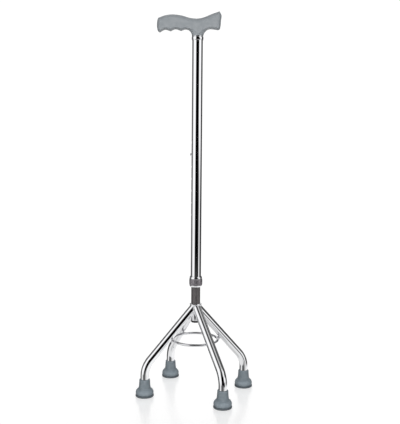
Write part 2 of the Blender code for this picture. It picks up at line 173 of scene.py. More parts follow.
def smooth_run(points, steps):
    """A Catmull-Rom curve through the points, without its last point."""
    padded = [points[0], *points, points[-1]]
    run = []
    for a, b, c, d in zip(padded, padded[1:], padded[2:], padded[3:]):
        a, b, c, d = Vector(a), Vector(b), Vector(c), Vector(d)
        for i in range(steps):
            t = i / steps
            place = 2 * b + (c - a) * t
            place += (2 * a - 5 * b + 4 * c - d) * t**2
            place += (3 * b - a - 3 * c + d) * t**3
            run.append(place / 2)
    return run


def turn(bm, profile, sides, place=Matrix.Identity(4)):
    """Turns a profile of (radius, height) about Z. Where its ends meet the axis they close."""
    loops = []
    for r, z in profile:
        if r < 1e-6:
            loops.append([bm.verts.new(place @ Vector((0, 0, z)))])
            continue
        loop = []
        for i in range(sides):
            angle = 2 * math.pi * i / sides
            loop.append(bm.verts.new(place @ Vector((r * math.cos(angle), r * math.sin(angle), z))))
        loops.append(loop)
    for low, high in zip(loops, loops[1:]):
        if len(low) > 1 and len(high) > 1:
            bridge(bm, low, high)
            continue
        tip, loop = (low[0], high) if len(low) == 1 else (high[0], low)
        for i in range(sides):
            bm.faces.new((tip, loop[i], loop[(i + 1) % sides]))


def turned(profile, sides=SIDES, place=Matrix.Identity(4)):
    bm = bmesh.new()
    turn(bm, profile, sides, place)
    return bm


def sweep(bm, path, wire_r, sides, closed=False):
    """A round wire along a path of points. wire_r is a number or a function of the share of the
    way along."""
    count = len(path)
    if not callable(wire_r):
        fixed = wire_r
        wire_r = lambda share: fixed
    loops = []
    side = None
    for i, here in enumerate(path):
        before = path[i - 1] if closed or i else here
        after = path[(i + 1) % count] if closed or i < count - 1 else here
        along = (after - before).normalized()
        if side is None:
            side = along.orthogonal().normalized()
        side = (side - along * side.dot(along)).normalized()
        other = along.cross(side)
        r = wire_r(i / count)
        loop = []
        for k in range(sides):
            angle = 2 * math.pi * k / sides
            loop.append(bm.verts.new(here + r * (side * math.cos(angle) + other * math.sin(angle))))
        loops.append(loop)
    for near, far in zip(loops, loops[1:]):
        bridge(bm, near, far)
    if closed:
        first = loops[0]
        last = loops[-1]
        shift = min(range(sides), key=lambda k: (last[0].co - first[k].co).length)
        bridge(bm, last, first[shift:] + first[:shift])
    else:
        bm.faces.new(loops[0])
        bm.faces.new(loops[-1])


def ease(value):
    value = min(1.0, max(0.0, value))
    return value * value * (3 - 2 * value)


# ---- materials ----------------------------------------------------------------------------


class Look:
    """A material with one Principled shader, whose detail is in the piece's own coordinates."""

    def __init__(self, name, colour, roughness, metallic=0.0):
        self.material = bpy.data.materials.new(name)
        self.material.use_nodes = True
        self.tree = self.material.node_tree
        self.shader = self.tree.nodes["Principled BSDF"]
        self.shader.inputs["Base Color"].default_value = (*colour, 1)
        self.shader.inputs["Roughness"].default_value = roughness
        self.shader.inputs["Metallic"].default_value = metallic
        self.place = self.tree.nodes.new("ShaderNodeTexCoord").outputs["Object"]
        self.last_bump = None
        self.colour = None

    def add(self, kind, **inputs):
        node = self.tree.nodes.new(kind)
        for name, value in inputs.items():
            socket = node.inputs[name.replace("_", " ")]
            if isinstance(value, bpy.types.NodeSocket):
                self.tree.links.new(value, socket)
            else:
                socket.default_value = value
        return node

    def stretched(self, scale):
        mapping = self.add("ShaderNodeMapping", Vector=self.place)
        mapping.inputs["Scale"].default_value = scale
        return mapping.outputs["Vector"]

    def noise(self, size, detail=3.0, stretch=(1, 1, 1)):
        """Noise whose spots are about this size in metres."""
        place = self.stretched(stretch) if stretch != (1, 1, 1) else self.place
        made = self.add("ShaderNodeTexNoise", Vector=place, Scale=1 / size, Detail=detail)
        return made.outputs["Fac"]

    def spread(self, value, low, high, start=0.3, end=0.7):
        """Maps a value's usual range to low..high."""
        made = self.add("ShaderNodeMapRange", Value=value)
        made.inputs["From Min"].default_value = start
        made.inputs["From Max"].default_value = end
        made.inputs["To Min"].default_value = low
        made.inputs["To Max"].default_value = high
        return made.outputs["Result"]

    def vary_colour(self, value, dark, light, start=0.3, end=0.7):
        ramp = self.add("ShaderNodeValToRGB", Fac=value)
        ramp.color_ramp.elements[0].position = start
        ramp.color_ramp.elements[0].color = (*dark, 1)
        ramp.color_ramp.elements[1].position = end
        ramp.color_ramp.elements[1].color = (*light, 1)
        self.colour = ramp.outputs["Color"]
        self.tree.links.new(self.colour, self.shader.inputs["Base Color"])

    def vary_roughness(self, value, low, high):
        self.tree.links.new(self.spread(value, low, high), self.shader.inputs["Roughness"])

    def bump(self, value, depth, strength=1.0):
        node = self.add("ShaderNodeBump", Height=value, Strength=strength, Distance=depth)
        if self.last_bump is not None:
            self.tree.links.new(self.last_bump, node.inputs["Normal"])
        self.last_bump = node.outputs["Normal"]
        self.tree.links.new(self.last_bump, self.shader.inputs["Normal"])


def chrome():
    look = Look("bright_chrome", (0.88, 0.885, 0.90), 0.03, 1.0)
    look.vary_roughness(look.noise(0.012), 0.008, 0.022)
    look.bump(look.noise(0.02, 1.0), 0.000004, 0.1)
    return look.material


def wire_chrome():
    """Rougher plating on the drawn wire of the ring, with a darker colour than the other chrome that
    paints in the ring's shade.
    """
    # The darker base colour is painted shade; the higher roughness is the wire's own.
    look = Look("dull_and_shaded_wire_chrome", (0.70, 0.70, 0.72), 0.05, 1.0)
    look.vary_roughness(look.noise(0.004), 0.03, 0.08)
    look.bump(look.noise(0.0015), 0.00001, 0.4)
    return look.material


def knurled_chrome():
    look = Look("knurled_chrome", (0.34, 0.32, 0.35), 0.25, 1.0)
    look.vary_colour(look.noise(0.0012), (0.19, 0.175, 0.19), (0.40, 0.375, 0.40))
    look.vary_roughness(look.noise(0.0009), 0.20, 0.36)
    look.bump(look.noise(0.0004), 0.00003, 0.5)
    return look.material


def satin_steel():
    look = Look("dark_satin_steel", (0.15, 0.14, 0.145), 0.45, 0.6)
    streaks = look.noise(0.0011, 4.0, (1, 1, 0.04))
    look.vary_colour(streaks, (0.075, 0.068, 0.069), (0.19, 0.176, 0.178))
    look.vary_roughness(look.noise(0.004), 0.40, 0.55)
    look.bump(look.noise(0.0005, 2.0, (1, 1, 0.05)), 0.00002, 0.5)
    return look.material


def plain_steel():
    look = Look("plain_steel", (0.55, 0.56, 0.58), 0.32, 1.0)
    look.vary_roughness(look.noise(0.003), 0.26, 0.42)
    look.bump(look.noise(0.0005, 2.0, (1, 1, 0.1)), 0.00001, 0.4)
    return look.material


def grip_plastic():
    look = Look("grey_grip_plastic", (0.33, 0.36, 0.38), 0.46)
    look.vary_colour(look.noise(0.009, 4.0), (0.302, 0.332, 0.355), (0.360, 0.386, 0.408))
    look.vary_roughness(look.noise(0.0022), 0.40, 0.56)
    look.bump(look.noise(0.0009, 2.0), 0.00006, 0.4)
    look.bump(look.noise(0.00028, 1.0), 0.00003, 0.5)
    return look.material


def foot_rubber():
    """Painted light by height: painted shade on the lip and the neck, and a painted highlight on the
    shoulder and the top rim.
    """
    look = Look("grey_foot_rubber", (0.21, 0.255, 0.29), 0.62)
    height = look.add("ShaderNodeSeparateXYZ", Vector=look.place).outputs["Z"]
    look.vary_colour(look.noise(0.006, 4.0), (0.212, 0.258, 0.290), (0.270, 0.315, 0.350))
    # Painted light and shade by height: a dark lip at the floor, a bright shoulder, a darker neck
    # and a lighter top rim.
    painted_light_by_height = look.add("ShaderNodeValToRGB", Fac=look.spread(height, 0.0, 1.0, 0.0, 0.036))
    painted_light_levels = [(0.0, 0.40), (0.10, 0.50), (0.15, 0.90), (0.30, 1.18)]
    painted_light_levels += [(0.42, 1.30), (0.52, 0.90), (0.93, 0.86), (1.0, 1.15)]
    ramp = painted_light_by_height.color_ramp
    while len(ramp.elements) < len(painted_light_levels):
        ramp.elements.new(0.5)
    for element, (place, level) in zip(ramp.elements, painted_light_levels):
        element.position = place
        element.color = (level, level, level, 1)
    colour_with_painted_light = look.add("ShaderNodeVectorMath", Vector=look.colour)
    colour_with_painted_light.operation = "MULTIPLY"
    look.tree.links.new(painted_light_by_height.outputs["Color"], colour_with_painted_light.inputs[1])
    look.tree.links.new(colour_with_painted_light.outputs[0], look.shader.inputs["Base Color"])
    look.vary_roughness(look.noise(0.002), 0.52, 0.72)
    look.bump(look.noise(0.0012, 2.0), 0.00008, 0.4)
    look.bump(look.noise(0.0003, 1.0), 0.00003, 0.6)
    return look.material


def black_plastic():
    look = Look("black_plastic", (0.015, 0.015, 0.016), 0.38)
    look.vary_roughness(look.noise(0.002), 0.30, 0.48)
    look.bump(look.noise(0.0005, 1.0), 0.00002, 0.5)
    return look.material


def natural_nylon():
    look = Look("natural_nylon", (0.75, 0.74, 0.71), 0.45)
    look.vary_colour(look.noise(0.004), (0.70, 0.69, 0.65), (0.80, 0.79, 0.76))
    look.bump(look.noise(0.0006, 1.0), 0.00002, 0.4)
    return look.material


# ---- handle -------------------------------------------------------------------------------


def grip_outline():
    """The handle from the side, clockwise from the neck's left corner: (x, height above the
    neck's foot), with finger grooves under the long arm."""
    neck = radius("handle_ferrule") - 0.0006
    left_neck = [(-neck, 0), (-0.0120, 0.0030), (-0.0142, 0.0078)]
    left_neck += [(-0.0182, 0.0116), (-0.0237, 0.0132)]
    grooves = [
        (-0.0237, 0.0132),
        (-0.0336, 0.0103),
        (-0.0448, 0.0134),
        (-0.0549, 0.0095),
        (-0.0653, 0.0123),
        (-0.0775, 0.0068),
    ]
    left_end = [(-0.0775, 0.0068), (-0.0810, 0.0105), (-0.0824, 0.0190)]
    left_end += [(-0.0818, 0.0290), (-0.0798, 0.0350)]
    hump = [
        (-0.0798, 0.0350),
        (-0.0660, 0.0400),
        (-0.0502, 0.0420),
        (-0.0319, 0.0398),
        (-0.0157, 0.0354),
        (-0.0002, 0.0342),
        (0.0127, 0.0368),
        (0.0289, 0.0434),
        (0.0440, 0.0488),
    ]
    right_end = [(0.0440, 0.0488), (0.0481, 0.0405), (0.0470, 0.0300)]
    right_end += [(0.0465, 0.0215), (0.0451, 0.0148), (0.0424, 0.0123)]
    right_neck = [(0.0424, 0.0123), (0.0340, 0.0135), (0.0262, 0.0141), (0.0195, 0.0125)]
    right_neck += [(0.0148, 0.0080), (0.0122, 0.0030), (neck, 0)]
    outline = smooth_run(left_neck, 5)
    for number, (here, there) in enumerate(zip(grooves, grooves[1:])):
        for i in range(9):
            t = i / 9
            if number % 2 == 0:
                rise = 1 - math.sin((1 - t) * math.pi / 2) ** 1.3
            else:
                rise = math.sin(t * math.pi / 2) ** 1.3
            x = here[0] + (there[0] - here[0]) * t
            outline.append(Vector((x, here[1] + (there[1] - here[1]) * rise)))
    for run in (left_end, hump, right_end, right_neck):
        outline += smooth_run(run, 5)
    outline.append(Vector((neck, 0)))
    return outline


def grip_spine(place):
    """The point that an outline point moves towards as the handle's edge rounds off."""
    x, height = place
    along = min(0.0340, max(-0.0680, x))
    grip = Vector((along, 0.0245 + 0.06 * max(0.0, along)))
    neck = Vector((0.0, 1.6 * height))
    near_neck = ease((0.030 - abs(x)) / 0.014) * ease((0.0200 - height) / 0.0070)
    return grip.lerp(neck, near_neck)


def superellipse(angle, power):
    """How far in and up an edge has come at an angle: a circle at power 2, a chamfer at 1."""
    return 1 - math.cos(angle) ** (2 / power), math.sin(angle) ** (2 / power)


def handle_grip(look):
    """Two flat faces with a wide round edge below, a tighter one above, and a round neck."""
    outline = grip_outline()
    neck_r = outline[-1].x
    count = len(outline)
    half = (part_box("handle_grip")[1][1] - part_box("handle_grip")[0][1]) / 2
    wall = 0.0045  # half of the flat part of the edge
    edges = []
    for i, place in enumerate(outline):
        along = outline[(i + 1) % count] - outline[i - 1]
        outward = Vector((along.y, -along.x)).normalized()
        down = ease(0.5 - outward.y * 0.9)
        edges.append(0.0028 + 0.0052 * down)
    spread_over = 4
    widths = []
    for i in range(count):
        near = [edges[(i + k) % count] for k in range(-spread_over, spread_over + 1)]
        widths.append(sum(near) / len(near))
    round_steps = 8
    rows = [(0.0, share) for share in (0.0, 0.5)]
    rows += [(math.radians(90 * k / round_steps), 1.0) for k in range(round_steps + 1)]
    inner_shares = (0.2, 0.45, 0.7, 0.92)
    bm = bmesh.new()
    for side in (1, -1):
        loops = []
        for angle, share in rows:
            loop = []
            for place, width in zip(outline, widths):
                x, height = place
                towards = grip_spine(place) - place
                neckness = ease((0.0140 - height) / 0.0120) * ease((0.0240 - abs(x)) / 0.0100)
                reach = width + (neck_r - width) * neckness
                flat = wall * (1 - neckness)
                thick = half + (neck_r * 0.985 - half) * neckness
                softness = 1.35 + 0.65 * neckness
                across, rise = superellipse(angle, softness)
                inset = min(reach * across, towards.length * 0.96)
                moved = place + towards.normalized() * inset
                y = flat * share + (thick - flat) * rise
                loop.append(Vector((moved.x, side * y, HANDLE_FOOT_Z + moved.y)))
            loops.append(loop)
        rim = loops[-1]
        for share in inner_shares:
            loop = []
            for place, edge in zip(outline, rim):
                target = grip_spine(place)
                x = edge.x + (target.x - edge.x) * share
                z = edge.z + (HANDLE_FOOT_Z + target.y - edge.z) * share
                crown = 0.0004 * (1 - (1 - share) ** 2)
                loop.append(Vector((x, edge.y + side * crown, z)))
            loops.append(loop)
        made = [[bm.verts.new(place) for place in loop] for loop in loops]
        for near, far in zip(made, made[1:]):
            bridge(bm, near, far)
        face = bm.faces.new(made[-1])
        bmesh.ops.triangulate(bm, faces=[face])
    return piece("grip_handle", bm, look, "upper", ["handle_grip"], 50)


def handle_ferrule(look):
    low = bottom("handle_ferrule")
    high = top("handle_ferrule")
    r = radius("handle_ferrule")
    bore = OUTER_R + 0.0002
    profile = [
        (bore, low),
        (r - 0.0006, low),
        (r - 0.0002, low + 0.0024),
        (r, low + 0.0050),
        (r, high - 0.0022),
        (r - 0.0005, high - 0.0016),
        (r - 0.0004, high),
        (bore, high),
        (bore, low),
    ]
    bm = turned(rounded(profile, 0.0006), 96)
    return piece("ferrule", bm, look, "upper", ["handle_ferrule"])


# ---- shaft --------------------------------------------------------------------------------


def tube_skin(bm, r, low, high, heights, hole_r):
    """One skin of a tube, with a round hole in its -X side at each height. Returns its end loops
    and the holes' loops."""
    step = 2 * math.pi / SIDES
    half = OUTER_R * step * PATCH / 2
    levels = [low]
    rows_of_hole = []
    for height in heights:
        rows_of_hole.append(len(levels))
        levels += [height - half + 2 * half * i / PATCH for i in range(PATCH + 1)]
    levels.append(high)

    def point(column, z):
        angle = math.pi + (column - PATCH / 2) * step
        return Vector((r * math.cos(angle), r * math.sin(angle), z))

    covered = set()
    for first in rows_of_hole:
        for i in range(1, PATCH):
            for column in range(1, PATCH):
                covered.add((first + i, column))
    grid = {}
    for i, z in enumerate(levels):
        for column in range(SIDES):
            if (i, column) not in covered:
                grid[i, column] = bm.verts.new(point(column, z))
    for i in range(len(levels) - 1):
        for column in range(SIDES):
            in_rows = any(first <= i < first + PATCH for first in rows_of_hole)
            if in_rows and column < PATCH:
                continue
            after = (column + 1) % SIDES
            bm.faces.new((grid[i, column], grid[i, after], grid[i + 1, after], grid[i + 1, column]))
    holes = []
    for first, height in zip(rows_of_hole, heights):
        border = [(first, c) for c in range(PATCH)]
        border += [(first + i, PATCH) for i in range(PATCH)]
        border += [(first + PATCH, PATCH - c) for c in range(PATCH)]
        border += [(first + PATCH - i, 0) for i in range(PATCH)]
        outer = [grid[key] for key in border]
        loops = [outer]
        for share in (0.5, 1.0):
            loop = []
            for vert in outer:
                y, z = vert.co.y, vert.co.z - height
                away = math.hypot(y, z)
                reach = away + (hole_r - away) * share
                y, z = y * reach / away, z * reach / away
                loop.append(bm.verts.new((-math.sqrt(r * r - y * y), y, height + z)))
            loops.append(loop)
        for near, far in zip(loops, loops[1:]):
            bridge(bm, near, far)
        holes.append(loops[-1])
    ends = [[grid[0, c] for c in range(SIDES)], [grid[len(levels) - 1, c] for c in range(SIDES)]]
    return ends, holes


def perforated_tube(r, wall, low, high, heights, hole_r):
    """A tube with two skins and slightly rounded hole edges."""
    round_off = 0.0002
    bm = bmesh.new()
    outer_ends, outer_holes = tube_skin(bm, r, low, high, heights, hole_r + round_off)
    inner_ends, inner_holes = tube_skin(bm, r - wall, low, high, heights, hole_r)
    for near, far in zip(outer_ends, inner_ends):
        bridge(bm, near, far)
    for height, near, far in zip(heights, outer_holes, inner_holes):
        middle = []
        for vert in near:
            y, z = vert.co.y, vert.co.z - height
            shrink = hole_r / (hole_r + round_off)
            middle.append(bm.verts.new((vert.co.x + round_off, y * shrink, height + z * shrink)))
        bridge(bm, near, middle)
        bridge(bm, middle, far)
    return bm


def shaft(looks):
    heights = [BUTTON_Z + HOLE_PITCH * step for step in range(-HOLES_BELOW, HOLES_ABOVE + 1)]
    low, high = bottom("outer_tube"), top("outer_tube")
    bm = perforated_tube(OUTER_R, WALL, low, high, heights, HOLE_R)
    piece("upper_tube", bm, looks["chrome"], "upper", ["outer_tube"])
    low, high = bottom("inner_tube"), top("inner_tube")
    bm = perforated_tube(INNER_R, WALL, low, high, [BUTTON_Z], HOLE_R)
    piece("lower_tube", bm, looks["satin_steel"], "base", ["inner_tube"])


def snap_button(look):
    """A flanged pin with a domed end, laid along -X."""
    tip = -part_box("snap_button")[0][0]
    back = -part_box("snap_button")[1][0]
    flange_r = radius_across("snap_button")
    pin_r = HOLE_R - 0.0004
    dome = 0.0018
    profile = [(0, back), (flange_r, back), (flange_r, back + 0.0012), (pin_r, back + 0.0012)]
    profile += [(pin_r, tip - dome)]
    profile = rounded(profile, 0.0002)
    for i in range(1, 9):
        angle = math.radians(90 * i / 8)
        profile.append((pin_r * math.cos(angle), tip - dome + dome * math.sin(angle)))
    outward = Matrix.Translation((0, 0, BUTTON_Z)) @ Matrix.Rotation(-math.pi / 2, 4, "Y")
    return piece("push_button", turned(profile, 40, outward), look, "button", ["snap_button"])


def button_spring(look):
    """A strip bent into a V behind the button, whose arms close as the button is pressed on the real
    cane; this mesh does not bend.
    """
    low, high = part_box("button_spring")
    thickness = 0.0005
    bend_r = 0.0020
    near, far = low[0] + thickness / 2, high[0] - thickness / 2
    arm_foot = BUTTON_Z - 0.0050
    middle = (near + far) / 2
    path = [(near, high[2]), (near, arm_foot)]
    for i in range(9):
        angle = math.pi * (1 + i / 8)
        path.append((middle + bend_r * math.cos(angle), low[2] + bend_r * (1 + math.sin(angle))))
    path += [(far, arm_foot), (far, high[2])]
    path = rounded(path, 0.0030, 5)
    bm = bmesh.new()
    loops = []
    for i, here in enumerate(path):
        along = (path[min(len(path) - 1, i + 1)] - path[max(0, i - 1)]).normalized()
        across = Vector((along.y, -along.x)) * thickness / 2
        loop = []
        for side, y in ((1, high[1]), (1, low[1]), (-1, low[1]), (-1, high[1])):
            place = here + side * across
            loop.append(bm.verts.new((place.x, y, place.y)))
        loops.append(loop)
    for one, other in zip(loops, loops[1:]):
        bridge(bm, one, other)
    bm.faces.new(loops[0])
    bm.faces.new(loops[-1])
    spring = piece("spring_clip", bm, look, "base", ["button_spring"])
    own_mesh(spring)


def knurl(angle, height, pitch):
    """How high a diamond knurl stands at a place on the belt, from 0 to 1."""
    around = angle * KNURLS / (2 * math.pi)
    ridges = []
    for lean in (1, -1):
        share = (around + lean * height / pitch) % 1.0
        ridges.append(1 - abs(2 * share - 1))
    return min(1.0, 1.6 * min(ridges))


def lock_nut(looks):
    """A barrel nut with a diamond-knurled belt between two bright bands."""
    low, high = bottom("lock_nut"), top("lock_nut")
    r = radius("lock_nut")
    bore = INNER_R + 0.0004
    sleeve_bore = OUTER_R + 0.0013
    belt_low = low + 0.0038
    belt_high = high - 0.0049
    lower_band = [
        (bore, low + 0.0020),
        (bore, low),
        (r - 0.0022, low),
        (r - 0.0011, low + 0.0014),
        (r - 0.0006, belt_low - 0.0004),
        (r - 0.0009, belt_low),
        (bore, belt_low),
    ]
    upper_band = [
        (sleeve_bore, belt_high),
        (r - 0.0009, belt_high),
        (r - 0.0005, belt_high + 0.0005),
        (r - 0.0008, high - 0.0016),
        (r - 0.0013, high),
        (sleeve_bore, high),
        (sleeve_bore, belt_high),
    ]
    bm = turned(rounded(lower_band, 0.0005), 96)
    turn(bm, rounded(upper_band, 0.0005), 96)
    piece("nut_bands", bm, looks["chrome"], "nut")
    columns = KNURLS * 4
    pitch = 2 * math.pi * r / KNURLS
    rows = round((belt_high - belt_low) / (pitch / 4))
    bm = bmesh.new()
    loops = []
    for i in range(rows + 1):
        share = i / rows
        z = belt_low + (belt_high - belt_low) * share
        crown = 0.0003 * (2 * share - 1) ** 2
        chamfer = 0.0005 * max(0.0, abs(2 * share - 1) - 0.88) / 0.12
        loop = []
        for k in range(columns):
            angle = 2 * math.pi * k / columns
            here = r - crown - chamfer - KNURL_DEPTH * (1 - knurl(angle, z - belt_low, pitch))
            loop.append(bm.verts.new((here * math.cos(angle), here * math.sin(angle), z)))
        loops.append(loop)
    for near, far in zip(loops, loops[1:]):
        bridge(bm, near, far)
    for loop in (loops[0], loops[-1]):
        # These end faces run in past the bore and through the tubes inside, out of sight.
        inner = [bm.verts.new((v.co.x * bore / r, v.co.y * bore / r, v.co.z)) for v in loop]
        bridge(bm, loop, inner)
    piece("nut_knurled_belt", bm, looks["knurled_chrome"], "nut", ["lock_nut"], 25)


# ---- base ---------------------------------------------------------------------------------


def leg_plane(corner):
    """Directions out to a leg and across it, and how far out its foot is."""
    place = centre(f"foot_{corner}")
    out = Vector((place.x, place.y, 0))
    reach = out.length
    out.normalize()
    return out, Vector((-out.y, out.x, 0)), reach


def leg(corner, look):
    out, _, reach = leg_plane(corner)
    corner_z = LEG_APEX_Z - reach / math.tan(LEG_SLOPE)
    tangent = LEG_BEND_R * math.tan(LEG_SLOPE / 2)
    up = Vector((0, 0, 1))
    path = [up * LEG_APEX_Z]
    bend = out * (reach - LEG_BEND_R) + up * (corner_z - tangent)
    steps = 20
    for i in range(steps + 1):
        angle = LEG_SLOPE * (1 - i / steps)
        path.append(bend + LEG_BEND_R * (out * math.cos(angle) + up * math.sin(angle)))
    path.append(out * reach + up * 0.0100)
    bm = bmesh.new()
    sweep(bm, path, LEG_R, 48)
    return piece(f"leg_tube_{corner}", bm, look, "base", [f"leg_{corner}"], 50)


def seam_angles():
    """Half the angle between a leg and its neighbour, the way each gap comes round."""
    outs = [leg_plane(corner)[0] for corner in CORNERS]
    return [outs[i].angle(outs[(i + 1) % 4]) / 2 for i in range(4)]


def on_leg(corner, hub_angle, upper):
    """A point where a leg's surface meets the hub, at an angle about the shaft from the leg."""
    out, across, _ = leg_plane(corner)
    sine = min(1.0, INNER_R / LEG_R * math.sin(abs(hub_angle)))
    lift = math.sqrt(1 - sine**2) * (1 if upper else -1)
    axis_z = LEG_APEX_Z - INNER_R * math.cos(hub_angle) / math.tan(LEG_SLOPE)
    z = axis_z + LEG_R * lift / math.sin(LEG_SLOPE)
    place = INNER_R * (out * math.cos(hub_angle) + across * math.sin(hub_angle))
    return Vector((place.x, place.y, z))


def ripple(count, size, depth=0.07):
    return lambda share: size * (1 + depth * math.sin(2 * math.pi * count * share))


def hub_welds(look):
    """Weld beads where the legs meet the hub, above and below, and where two legs meet."""
    halves = seam_angles()
    for upper, name in ((True, "weld_above_legs"), (False, "weld_below_legs")):
        path = []
        steps = 14
        for i, corner in enumerate(CORNERS):
            before, after = halves[i - 1], halves[i]
            for k in range(steps):
                place = on_leg(corner, -before + (before + after) * k / steps, upper)
                outwards = Vector((place.x, place.y, 0)).normalized()
                path.append(place + outwards * (0.0009 if upper else 0.0))
        bm = bmesh.new()
        sweep(bm, path, ripple(26, 0.0021 if upper else 0.0012), 12, closed=True)
        piece(name, bm, look, "base")
    for i, corner in enumerate(CORNERS):
        out, across, _ = leg_plane(corner)
        half = halves[i]
        start = math.asin(min(1.0, INNER_R / LEG_R * math.sin(half)))
        path = []
        for k in range(19):
            turn_angle = start + (math.pi - 2 * start) * k / 18
            sideways = LEG_R * math.sin(turn_angle)
            outwards = sideways / math.tan(half)
            over = LEG_R * math.cos(turn_angle)
            down = (outwards - over * math.cos(LEG_SLOPE)) / math.sin(LEG_SLOPE)
            z = LEG_APEX_Z - down * math.cos(LEG_SLOPE) + over * math.sin(LEG_SLOPE)
            place = out * outwards + across * sideways
            path.append(Vector((place.x, place.y, z)))
        bm = bmesh.new()
        sweep(bm, path, ripple(9, 0.0014), 12)
        piece(f"weld_beside_{corner}", bm, look, "base")


def hub(looks):
    low, high = bottom("hub_tube"), top("hub_tube")
    profile = [(HUB_BORE, low), (INNER_R, low), (INNER_R, high), (HUB_BORE, high), (HUB_BORE, low)]
    bm = turned(rounded(profile, 0.0003))
    piece("hub_sleeve", bm, looks["chrome"], "base", ["hub_tube"])
    low, high = bottom("hub_end_plug"), top("hub_end_plug")
    head = radius("hub_end_plug")
    neck_z = bottom("hub_tube") - 0.0003
    profile = [(0, low + 0.0007), (0.0030, low + 0.0004), (0.0048, low), (head, low), (head, neck_z)]
    shank = HUB_BORE - 0.0004
    profile += [(shank, neck_z), (shank, high), (0, high)]
    bm = turned(rounded(profile, 0.0009))
    piece("end_plug", bm, looks["black_plastic"], "base", ["hub_end_plug"])


def brace_ring(look):
    """A wire ring, its stubs out to the legs, and a weld fillet at both ends of each stub."""
    z = centre("brace_ring").z
    around = 120
    path = []
    for i in range(around):
        angle = 2 * math.pi * i / around
        path.append(Vector((RING_R * math.cos(angle), RING_R * math.sin(angle), z)))
    bm = bmesh.new()
    sweep(bm, path, RING_WIRE_R, 18, closed=True)
    leg_axis = (LEG_APEX_Z - z) * math.tan(LEG_SLOPE)
    end = leg_axis - LEG_R / math.cos(LEG_SLOPE) * 0.93
    stub_r = RING_WIRE_R * 0.85
    for corner in CORNERS:
        out = leg_plane(corner)[0]
        lay = Matrix.Translation((0, 0, z)) @ out.to_track_quat("Z", "Y").to_matrix().to_4x4()
        profile = [(0, RING_R), (stub_r * 1.5, RING_R + 0.0005), (stub_r, RING_R + 0.0028)]
        profile += [(stub_r, end - 0.0026), (stub_r * 1.8, end - 0.0006)]
        profile += [(stub_r * 1.9, end), (0, end + 0.0006)]
        turn(bm, rounded(profile, 0.0010), 20, lay)
    return piece("ring_with_stubs", bm, look, "base", ["brace_ring"], 60)


def foot(corner, look):
    """A rubber tip: a neck with a rolled rim, a flare, a bulged base with a lip, and a tread of
    round grooves underneath."""
    place = centre(f"foot_{corner}")
    height = top(f"foot_{corner}")
    floor = 0.0080
    bore = LEG_R + 0.0001
    tread = [(0, 0.0009), (0.0030, 0.0009), (0.0034, 0)]
    groove_depth = 0.0009
    for inner in (0.0060, 0.0100, 0.0140):
        tread += [(inner, 0), (inner + 0.0004, groove_depth)]
        tread += [(inner + 0.0016, groove_depth), (inner + 0.0020, 0)]
    tread.append((0.0184, 0))
    side = [
        (0.0184, 0.0),
        (0.0190, 0.0008),
        (0.0191, 0.0020),
        (0.0190, 0.0032),
        (0.0178, 0.0040),
        (0.0175, 0.0048),
        (0.0183, 0.0058),
        (0.0186, 0.0078),
        (0.0184, 0.0104),
        (0.0174, 0.0130),
        (0.0158, 0.0150),
        (0.0140, 0.0165),
        (0.0128, 0.0182),
        (0.0120, 0.0220),
        (0.0113, height - 0.0050),
        (0.0112, height - 0.0026),
        (0.0110, height - 0.0007),
        (0.0105, height),
    ]
    rim = [(0.0105, height), (bore, height), (bore, floor), (0, floor)]
    profile = tread[:-1] + smooth_run(side, 4) + rim
    at = Matrix.Translation((place.x, place.y, 0))
    bm = turned(profile, 72, at)
    return piece(f"rubber_foot_{corner}", bm, look, "base", [f"foot_{corner}"], 45)


# ---- inner pieces -------------------------------------------------------------------------


def dress_inner_pieces(looks):
    """CAD nodes that stay as they are and only take a material."""
    wears = {
        "hub_spigot": "plain_steel",
        "threaded_sleeve": "plain_steel",
        "inner_tube_guide": "natural_nylon",
        "handle_spigot": "natural_nylon",
        "collet_ring": "natural_nylon",
    }
    for corner in CORNERS:
        wears[f"foot_washer_{corner}"] = "plain_steel"
    for node, look in wears.items():
        for slot in frame["nodes"][node].material_slots:
            slot.material = looks[look]


# ---- studio -------------------------------------------------------------------------------


def studio_floor():
    """A white disc, a little glossy, that glows enough to stay white under the cane and fades out
    towards its edge."""
    radii = (0.25, 0.5, 0.9)
    look = Look("studio_floor", (0.60, 0.60, 0.60), 0.17)
    look.shader.inputs["IOR"].default_value = 1.75
    look.shader.inputs["Emission Color"].default_value = (1, 1, 1, 1)
    look.shader.inputs["Emission Strength"].default_value = 0.59
    look.vary_roughness(look.noise(0.05), 0.15, 0.19)
    reach = look.add("ShaderNodeVectorMath", Vector=look.place)
    reach.operation = "LENGTH"
    fade = look.spread(reach.outputs["Value"], 1.0, 0.0, radii[0], radii[2] * 0.95)
    look.tree.links.new(fade, look.shader.inputs["Alpha"])
    bm = bmesh.new()
    loops = []
    for r in radii:
        ring = []
        for i in range(SIDES):
            angle = 2 * math.pi * i / SIDES
            ring.append(bm.verts.new((r * math.cos(angle), r * math.sin(angle), -0.0005)))
        loops.append(ring)
    for near, far in zip(loops, loops[1:]):
        bridge(bm, near, far)
    bm.faces.new(loops[0])
    floor = new_object("studio_floor", bm, look.material)
    floor.visible_glossy = False
    floor.visible_diffuse = False


